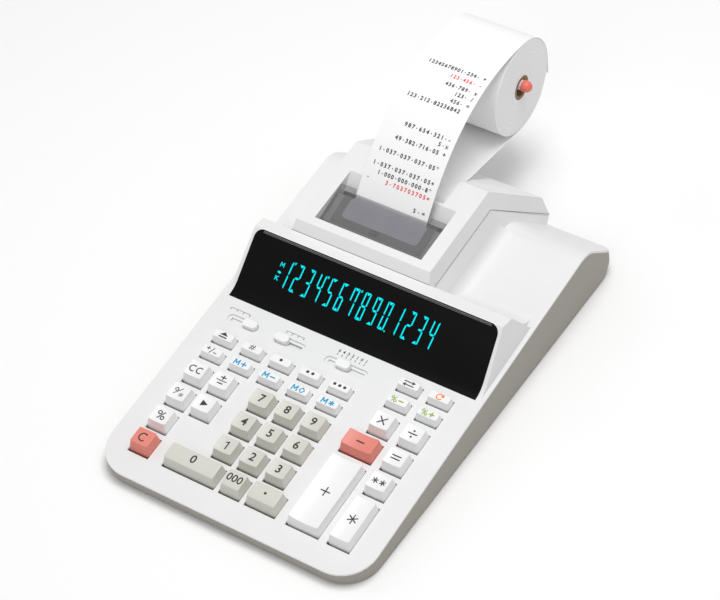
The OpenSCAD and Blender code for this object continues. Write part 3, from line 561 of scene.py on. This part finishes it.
def hatch_mark(x, y, size):
    """Two leaning strokes over two level ones."""
    r = size / 2
    leaning = (x - r * 0.6, y - r, x - r * 0.2, y + r), (x + r * 0.2, y - r, x + r * 0.6, y + r)
    level = (x - r, y - r * 0.35, x + r, y - r * 0.35), (x - r, y + r * 0.35, x + r, y + r * 0.35)
    return strokes(size * 0.11, *leaning, *level)


def star_mark(x, y, radius, thick):
    """Three strokes crossing at one point, 60 degrees apart."""
    spokes = [(radius * math.cos(a), radius * math.sin(a)) for a in np.radians([30, 90, 150])]
    return strokes(thick, *[(x - dx, y - dy, x + dx, y + dy) for dx, dy in spokes])


KEY_PLASTICS = {
    "white_key": plastic("white_key", (0.88, 0.88, 0.885), 0.38, 0.1, 0.4),
    "number_key": plastic("number_key", (0.66, 0.65, 0.59), 0.38, 0.1, 0.4),
    "red_key": plastic("red_key", (0.78, 0.24, 0.19), 0.38, 0.1, 0.4),
}
INKS = {
    "black": plastic("ink_black", (0.03, 0.03, 0.03), 0.5),
    "blue": plastic("ink_blue", (0.0, 0.34, 0.60), 0.5),
    "green": plastic("ink_green", (0.25, 0.45, 0.0), 0.5),
    "orange": plastic("ink_orange", (0.90, 0.20, 0.01), 0.5),
}
MARKS = {  # each key's printed mark and ink
    "feed": ([flat_face([(-3.2, 0.0), (3.2, 0.0), (0, 2.6)]), bar(-3.2, -1.5, 3.2, -1.5, 1.0)], "black"),
    "item": (hatch_mark(0, 0.3, 4.4), "black"),
    "cost": ([disc(0, 0.3, 1.15)], "black"),
    "sell": ([disc(x, 0.3, 1.15) for x in (-2.0, 2.0)], "black"),
    "margin": ([disc(x, 0.3, 1.15) for x in (-3.9, 0, 3.9)], "black"),
    "sign": (strokes(0.65, (-4.6, 1.1, -1.8, 1.1), (-3.2, -0.3, -3.2, 2.5), (-1.2, -2.3, 1.0, 2.5),
                     (1.4, -1.0, 4.2, -1.0)), "black"),
    "memory_plus": (memory_mark(strokes(1.0, (0.6, 0, 4.8, 0), (2.7, -2.1, 2.7, 2.1))), "blue"),
    "memory_minus": (memory_mark(strokes(1.0, (0.6, 0, 4.8, 0))), "blue"),
    "memory_subtotal": (memory_mark(strokes(0.8, (0.9, 0, 2.8, 2.1), (2.8, 2.1, 4.7, 0), (4.7, 0, 2.8, -2.1),
                                            (2.8, -2.1, 0.9, 0))), "blue"),
    "memory_total": (memory_mark(star_mark(2.8, 0, 2.1, 0.9)), "blue"),
    "change": ([bar(-4.2, 1.2, 2.4, 1.2, 0.8), flat_face([(2.0, 2.6), (2.0, -0.2), (4.4, 1.2)]),
                bar(-2.4, -1.3, 4.2, -1.3, 0.8), flat_face([(-2.0, 0.1), (-4.4, -1.3), (-2.0, -2.7)])],
               "black"),
    "reprint": ([open_ring(0, 0, 2.1, 0.8, 40, 330), flat_face([(0.4, 0.3), (3.3, 0.3), (2.2, 2.8)])],
                "orange"),
    "tax_minus": (percent_mark(-2.6, 0, 4.4) + strokes(1.0, (0.8, 0, 4.6, 0)), "green"),
    "tax_plus": (percent_mark(-2.6, 0, 4.4) + strokes(1.0, (0.8, 0, 4.6, 0), (2.7, -1.9, 2.7, 1.9)), "green"),
    "clear_all": ([open_ring(x, 0, 2.3, 0.85, 50, 310) for x in (-2.7, 2.7)], "black"),
    "markup": ([bar(-4.2, 0, 4.2, 0, 0.5)] + strokes(0.85, (-2.2, 2.7, 2.2, 2.7), (0, 0.9, 0, 4.5),
                                                     (-2.2, -2.2, 2.2, -2.2)), "black"),
    "nonadd": ([bar(-3.4, -2.4, 1.6, 3.8, 0.5)]
               + strokes(0.6, (-3.9, 1.7, -2.5, 3.1), (-2.5, 3.1, -1.1, 1.7), (-1.1, 1.7, -2.5, 0.3),
                         (-2.5, 0.3, -3.9, 1.7)) + hatch_mark(2.4, -1.4, 3.2), "black"),
    "backspace": ([flat_face([(-2.2, -2.4), (2.9, 0), (-2.2, 2.4)])], "black"),
    "percent": (percent_mark(0, 0, 6.2), "black"),
    "clear": ([open_ring(0, 0, 2.9, 0.95, 48, 312)], "black"),
    "minus": (strokes(1.0, (-3.1, 0, 3.1, 0)), "black"),
    "plus": (strokes(0.85, (-3.6, 0, 3.6, 0), (0, -3.6, 0, 3.6)), "black"),
    "multiply": (strokes(0.85, (-2.8, -2.8, 2.8, 2.8), (-2.8, 2.8, 2.8, -2.8)), "black"),
    "divide": ([bar(-3.5, 0, 3.5, 0, 0.8), disc(0, 2.4, 0.75), disc(0, -2.4, 0.75)], "black"),
    "equals": (strokes(0.8, (-3.5, 1.2, 3.5, 1.2), (-3.5, -1.2, 3.5, -1.2)), "black"),
    "grand_total": (star_mark(-2.7, 0, 2.3, 0.75) + star_mark(2.7, 0, 2.3, 0.75), "black"),
    "total": (star_mark(0, 0, 3.7, 0.8), "black"),
    "decimal": ([disc(0, 0, 1.0)], "black"),
    "zero": (digit_mark("0"), "black"),
    "triple_zero": ([lettering("000", 5.8, 0.12)], "black"),
}
NUMBERS = "one two three four five six seven eight nine".split()
for number, word in enumerate(NUMBERS, 1):
    MARKS[word] = (digit_mark(str(number)), "black")

FLANGE, FLANGE_BOTTOM = 1.3, -3.7  # the flange under the deck: how far it stands out, and its foot
SPREAD = 0.4  # a finished cap is wider than its CAD by this
LOW_CAP, TALL_CAP = 5.6, 7.8
DISHES = {"plus": 2.2, "minus": 1.6, "clear": 0.0}  # of the caps that aren't dished like the rest
DISH, LOW_DISH, ROLL = 1.2, 0.15, 1.5
MARK_BACK, ROLLED_MARK_BACK = 0.6, 1.2  # a mark's middle, behind the cap's
ROLLED = {"zero", "triple_zero", "decimal"}
RED = {"clear", "minus"}
LOW = {"feed", "item", "cost", "sell", "margin", "sign", "memory_plus", "memory_minus",
       "memory_subtotal", "memory_total", "change", "reprint", "tax_minus", "tax_plus"}
for word, (mark, ink) in MARKS.items():
    node = "key_" + word
    low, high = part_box(node)
    x, y, _ = node_middle(node)
    height = LOW_CAP if word in LOW else TALL_CAP
    width = (high.x - low.x) * 1000 - 2 * FLANGE + SPREAD
    lean = (height - FLANGE_BOTTOM) * math.sin(TILT)
    depth = ((high.y - low.y) * 1000 - lean) / math.cos(TILT) - 2 * FLANGE + SPREAD
    size = (width, depth, height)
    dish = 0.0 if word in ROLLED else LOW_DISH if word in LOW else DISHES.get(word, DISH)
    roll, mark_y = (ROLL, ROLLED_MARK_BACK) if word in ROLLED else (0.0, MARK_BACK)
    numbered = word in ROLLED or word in NUMBERS
    finish = "number_key" if numbered else "red_key" if word in RED else "white_key"
    points, faces = key_cap(size, dish, roll)
    cap = show("cap_" + word, on_deck(points + (x, y, 0)), faces, node, KEY_PLASTICS[finish], 50)
    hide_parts(node)
    flat, faces = joined(mark)
    flat = flat + (0, mark_y)
    z = key_top(flat[:, 0], flat[:, 1], size, dish, roll) + PROUD
    show("mark_" + word, on_deck(np.column_stack([flat + (x, y), z])), faces, node, INKS[ink])

# ---- Slide switches ------------------------------------------------------------------------
# Three small white knobs that click along slots in the deck, with printed tick marks behind them.
# Each carries a thin shutter, which closes its slot from below.


def plate(half, front, back, radius, bottom, top):
    """A flat plate with rounded corners: one rounded rectangle at its top, and one at its bottom."""
    flat = key_ring(half, front, back, radius)
    return skin([np.column_stack([flat, np.full(len(flat), z)]) for z in (top, bottom)])


JOINTS = frame["record"]["behaviour"]["joints"]
SHUTTER_TOPS = {"power_knob": -2.35, "rounding_knob": -2.9, "decimal_knob": -2.35}  # so that neighbours pass
SHUTTER_T, SHUTTER_HALF, SHUTTER_LAP = 0.4, 2.6, 3.0  # thickness, half depth, and spare length at each end
for node, top in SHUTTER_TOPS.items():
    shell(node, node, KEY_PLASTICS["white_key"], 0.4)
    least, most = next(j["range_m"] for j in JOINTS if j["child"] == node)
    points, faces = plate(
        (most - least) * 1000 + SHUTTER_LAP, -SHUTTER_HALF, SHUTTER_HALF, 0.5, top - SHUTTER_T, top)
    x, y, _ = node_middle(node)
    show("shutter_" + node, on_deck(points + (x, y, 0)), faces, node, white_case)

SCALES = {  # node: how many ticks, the first one's place from the knob, the step, and the signs over them
    "power_knob": (4, -21.0, 5.2, ""),
    "rounding_knob": (4, -1.0, 4.6, ""),
    "decimal_knob": (7, -9.0, 3.5, "6432101"),
}
TICK_FOOT, TICK_HEAD, SIGN_Y = 6.2, 8.0, 10.0  # behind the knob's middle
scale_marks = []
for node, (count, start, step, signs) in SCALES.items():
    x, y, _ = node_middle(node)
    places = [x + start + i * step for i in range(count)]
    scale_marks += strokes(0.45, *[(left, y + TICK_FOOT, left, y + TICK_HEAD) for left in places])
    for left, sign in zip(places, signs):
        flat, faces = lettering(sign, 2.5, 0.08)
        scale_marks.append((flat + (left, y + SIGN_Y), faces))
    if not signs:
        scale_marks.append(bar(places[0], y + TICK_HEAD, places[-1], y + TICK_HEAD, 0.3))
points, faces = joined(scale_marks)
show("switch_marks", on_deck(np.column_stack([points, np.full(len(points), PROUD / 2)])), faces, "root",
     INKS["black"])

# ---- Printer -------------------------------------------------------------------------------
# A pressed steel frame carries a rubber feed roller and a drum of moulded type wheels; the cover
# over them is white like the case, with a clear smoked window to tear the strip against.

shell("printer_frame", "root", screw_steel, 0.15)
shell("feed_roller", "platen", plastic("roller_rubber", (0.03, 0.03, 0.03), 0.6, 0.3), 0.3)
shell("type_drum", "drum", plastic("drum_plastic", (0.10, 0.10, 0.11), 0.5, 0.2), 0.2)
shell("printer_cover", "root", white_case, 1.4)


def seam_corner(points, y, z):
    """The cover's vertex furthest to the right near one place on its lower edge."""
    near = points[np.hypot(points[:, 1] - y, points[:, 2] - z) < 0.1]
    return near[near[:, 0].argmax()]


def tube(path, radius, sides=6):
    """A thin tube along straight runs: a ring at each point, square to the mean of the runs on each side."""
    runs = np.gradient(path, axis=0)
    runs /= np.linalg.norm(runs, axis=1, keepdims=True)
    first = np.cross(runs, (0.1, 0.2, 1.0))
    first /= np.linalg.norm(first, axis=1, keepdims=True)
    second = np.cross(runs, first)
    angles = np.linspace(0, 2 * math.pi, sides, endpoint=False)[None, :, None]
    return skin(path[:, None] + radius * (np.cos(angles) * first[:, None] + np.sin(angles) * second[:, None]))


# The cover drops into the case behind a narrow gap, whose shade is painted as a thin dark tube. It runs down
# from the display's back at each front corner, then along the cover's lower edge to the rear.
LEDGE_Z, LEDGE_RUN = 26.05, 3.0  # top of the display's back, and how far its fall runs to the side seam
SIDE_LEAN = 0.277  # how far the cover's side leans in, for each millimetre up
GAP_R, GAP_DROP = 0.2, 0.15  # the gap's radius, and how far its middle is below the cover's edge
corners = to_deck(vertex_places(frame["nodes"]["printer_cover"].data))
front_y = corners[:, 1].min()
seam_z = corners[corners[:, 1] < front_y + 0.1][:, 2].min()
level = corners[abs(corners[:, 2] - seam_z) < 0.1]
outer = level[level[:, 0] > level[:, 0].max() - 0.2]
back = corners[corners[:, 1] > corners[:, 1].max() - 0.1]
side_x = seam_corner(corners, front_y, seam_z)[0]
seam = [(side_x - SIDE_LEAN * (LEDGE_Z - seam_z) + 0.1, front_y - 0.1, LEDGE_Z + 0.2),
        (side_x, front_y + LEDGE_RUN, seam_z), outer[outer[:, 1].argmax()],
        seam_corner(corners, back[0, 1], back[:, 2].min())]
middle_x = (corners[:, 0].min() + corners[:, 0].max()) / 2
mirrored = [(2 * middle_x - x, y, z) for x, y, z in seam]
points, faces = tube(np.array(mirrored[::-1] + seam) - (0, 0, GAP_DROP), GAP_R)
gap_shadow = plastic("gap_shadow", (0.10, 0.10, 0.10), 0.8)
show("cover_gap_shade", on_deck(points), faces, "root", gap_shadow)

# The window is smoked plastic over a lighter liner, with a darker band and a pane that shows the print.
smoke, shader, place = new_material("smoke")
shader.inputs["Base Color"].default_value = (0.20, 0.20, 0.205, 1)
shader.inputs["Roughness"].default_value = 0.16
feed(shader, "Alpha", noise(place, 60.0, 2.0) * 0.08 + 0.30)
shell("tear_off_window", "window", smoke, 0.2)
JOINT_PLACES = {j["name"]: j["pos_m"] for j in JOINTS if "pos_m" in j}
WINDOW_SLOPE, WINDOW_T = math.radians(9.3), 2.0
low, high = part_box("tear_off_window")
window_x, window_half = (low.x + high.x) * 500, (high.x - low.x) * 500
_, hinge_y, hinge_z = to_deck(JOINT_PLACES["window_hinge"])[0]


def on_window(points):
    """Points (x, distance from the hinge, height over the plate's underside) to metres."""
    x, d, h = points.T
    return on_deck(np.column_stack([
        x + window_x, hinge_y + d * math.cos(WINDOW_SLOPE) - h * math.sin(WINDOW_SLOPE),
        hinge_z + d * math.sin(WINDOW_SLOPE) + h * math.cos(WINDOW_SLOPE)]))


LINERS = {  # name: half width, nearest and furthest from the hinge, corner radius, height of its top, colour
    "window_liner": (41.5, 2.3, 25.3, 1.0, -0.9, (0.50, 0.50, 0.50)),
    "window_band": (36.5, 3.4, 25.4, 1.0, -0.6, (0.26, 0.26, 0.26)),
    "window_pane": (30.5, 9.0, 25.6, 3.0, -0.3, (0.62, 0.61, 0.71)),
}
LINER_T = 0.25
for name, (half, near, far, radius, top, colour) in LINERS.items():
    points, faces = plate(half, near, far, radius, top - LINER_T, top)
    liner_plastic = plastic(name + "_plastic", colour, 0.6, 0.2)
    show(name, on_window(points), faces, "window", liner_plastic)

# The cover's opening is rounded in its two front corners.
OPENING_GAP, OPENING_FRONT = 0.5, 3.0  # the opening beyond the window's sides, and ahead of its hinge
CORNER_REACH, CORNER_DEPTH, CORNER_SUNK = 2.8, 4.5, 0.05
rim_z = corners[:, 2].max()
for side, name in ((-1, "left"), (1, "right")):
    x, y = window_x + side * (window_half + OPENING_GAP), hinge_y - OPENING_FRONT
    start, end = (x, y, rim_z - CORNER_DEPTH), (x, y, rim_z - CORNER_SUNK)
    points, faces = fillet(start, end, (0, 1, 0), (-side, 0, 0), CORNER_REACH)
    show("opening_corner_" + name, on_deck(points), faces, "root", white_case)

# Two staggered rows of three dots give a fingertip its grip.
dots = [(2.4 * i - 1.0 + 0.4 * row, 4.6 + 2.2 * row) for i in (-1, 0, 1) for row in (0, 1)]
points, faces = joined([disc(x, y, 0.55) for x, y in dots])
show("window_grips", on_window(np.column_stack([points, np.full(len(points), WINDOW_T + 0.05)])), faces,
     "window", plastic("grip_dark", (0.04, 0.04, 0.04), 0.6))

# ---- Paper ---------------------------------------------------------------------------------
# A 57 mm roll turns on a spindle; its strip runs down to the feed roller, up past the tear edge
# and back over the roll, printed in black and red by the type drum.

paper, shader, place = new_material("paper")
fibre, mottle = noise(place, 2500.0, 4.0), noise(place, 120.0, 3.0)
feed(shader, "Base Color", tinted((0.92, 0.92, 0.925), mottle * 0.03 + fibre * 0.03 + 0.96))
feed(shader, "Roughness", fibre * 0.1 + 0.75)
feed(shader, "Normal", bumped(fibre, 0.15, 0.00003))
shell("paper_web", "root", paper)
shell("paper_roll", "roll", paper, 0.2)
shell("roll_core", "roll", plastic("core_card", (0.26, 0.18, 0.10), 0.8, 0.6), 0.2)
shell("roll_arm", "root", white_case, 0.5)
shell("spindle_tip", "root", plastic("tip_red", (0.80, 0.17, 0.13), 0.35, 0.1), 0.6)


def heading(degrees):
    """A unit step in y and z, leaning up by so many degrees from straight back."""
    return np.array([math.cos(math.radians(degrees)), math.sin(math.radians(degrees))])


# The strip rises straight from the feed roller, then bends back in one curve to the roll, and its
# printed rows are set out by the distance along it.
PAPER_T, ROLL_CLEAR = 0.3, 0.3
WRAP_R, EXIT_ANGLE, STRAIGHT = 8.45, 45, 30  # the strip's middle from the feed roller's axis, and its way out
LANDING = 75  # where the strip meets the roll, round the roll's axis
EXIT_PULL, LANDING_PULL = 60, 48  # how far the curve's ends hold their way
platen_at, roll_at = (to_deck(JOINT_PLACES[name])[0, 1:] for name in ("platen_spin", "roll_spin"))
low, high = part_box("paper_roll")
roll_r = (high.z - low.z) * 500
strip_start = platen_at + WRAP_R * heading(EXIT_ANGLE + 90)
bend_start = strip_start + STRAIGHT * heading(EXIT_ANGLE)
landing = roll_at + (roll_r + ROLL_CLEAR + PAPER_T / 2) * heading(LANDING)
t = np.linspace(0, 1, 200)[:, None]
curve = ((1 - t) ** 3 * bend_start + 3 * t * (1 - t) ** 2 * (bend_start + EXIT_PULL * heading(EXIT_ANGLE))
         + 3 * t ** 2 * (1 - t) * (landing - LANDING_PULL * heading(LANDING - 90)) + t ** 3 * landing)
strip_line = np.vstack([strip_start, curve])
strip_along = np.concatenate([[0], np.cumsum(np.hypot(*np.diff(strip_line, axis=0).T))])


def strip_place(along):
    """The strip's y and z at distances along it, between the points of its line."""
    return np.column_stack([np.interp(along, strip_along, column) for column in strip_line.T])


def on_strip(flat, proud):
    """Flat shapes (x, distance along the strip) to its printed face: out square from its line by proud."""
    run = strip_place(flat[:, 1] + 0.5) - strip_place(flat[:, 1] - 0.5)
    run /= np.linalg.norm(run, axis=1, keepdims=True)
    out = np.column_stack([-run[:, 1], run[:, 0]])
    return on_deck(np.column_stack([flat[:, 0], strip_place(flat[:, 1]) + proud * out]))


TYPE = {sign: lettering(sign, 3.0, 0.13) for sign in "0123456789+-=/x*"}
TYPE.update({sign: disc(0, -0.1, 0.42) for sign in ",."})
TYPE_WIDTH = 0.95  # the drum's type is narrower than the font


def printed_row(text, left, right, along):
    """Digits and signs set one to a column between two edges, as the wheels of the drum print them."""
    pitch = (right - left) / len(text)
    columns = [(i, *TYPE[sign]) for i, sign in enumerate(text) if sign != " "]
    return [(flat * (TYPE_WIDTH, 1) + (left + (i + 0.5) * pitch, along), faces) for i, flat, faces in columns]


ROWS = [  # text, left and right edge, distance along the strip
    ("12345678901,234. +", -40.8, 5.2, 131.8),
    ("456,789. x", -19.8, 5.8, 118.8),
    ("123. /", -9.5, 5.6, 113.4),
    ("456. =", -9.8, 5.4, 107.8),
    ("123,212.82236842", -41.2, 1.2, 102.3),
    ("987,654,321.-", -32.5, 5.0, 81.5),
    ("5.x", -3.5, 5.2, 76.6),
    ("49,382,716.05 +", -35.0, 5.5, 70.8),
    ("1,037,037,037.05*", -43.5, 4.8, 60.2),
    ("1,037,037,037.05+", -44.2, 5.2, 50.1),
    ("1,000,000,000.8*", -38.5, 5.0, 44.5),
    ("5.=", -4.8, 5.8, 28.5),
]
RED_ROWS = [("123,456. -", -20.0, 5.5, 125.7), ("-", -45.4, -42.6, 39.4), ("3.703703705=", -30.5, 5.5, 39.4)]
print_red = plastic("print_red", (0.85, 0.05, 0.06), 0.7)
for name, rows, ink in (("print_black", ROWS, INKS["black"]), ("print_red", RED_ROWS, print_red)):
    points, faces = joined([shape for row in rows for shape in printed_row(*row)])
    show(name, on_strip(points, PAPER_T / 2 + PROUD), faces, "root", ink)

# Faint rings on the roll's faces show its wound layers.
RING_RADII, RING_T, RING_PROUD = (13, 17.5, 21, 24.5, 28, 31.5, 34), 0.12, 0.04
points, faces = joined([open_ring(*roll_at, radius, RING_T, 0, 360) for radius in RING_RADII])
wound_edge = plastic("wound_edge", (0.72, 0.72, 0.72), 0.8)
turned = [face[::-1] for face in faces]  # for the left face, which looks the other way
left_x, right_x = low.x * 1000 - RING_PROUD, high.x * 1000 + RING_PROUD
for name, x, rings in (("wound_left", left_x, turned), ("wound_right", right_x, faces)):
    on_face = np.column_stack([np.full(len(points), x), points])
    show(name, on_deck(on_face), rings, "roll", wound_edge)
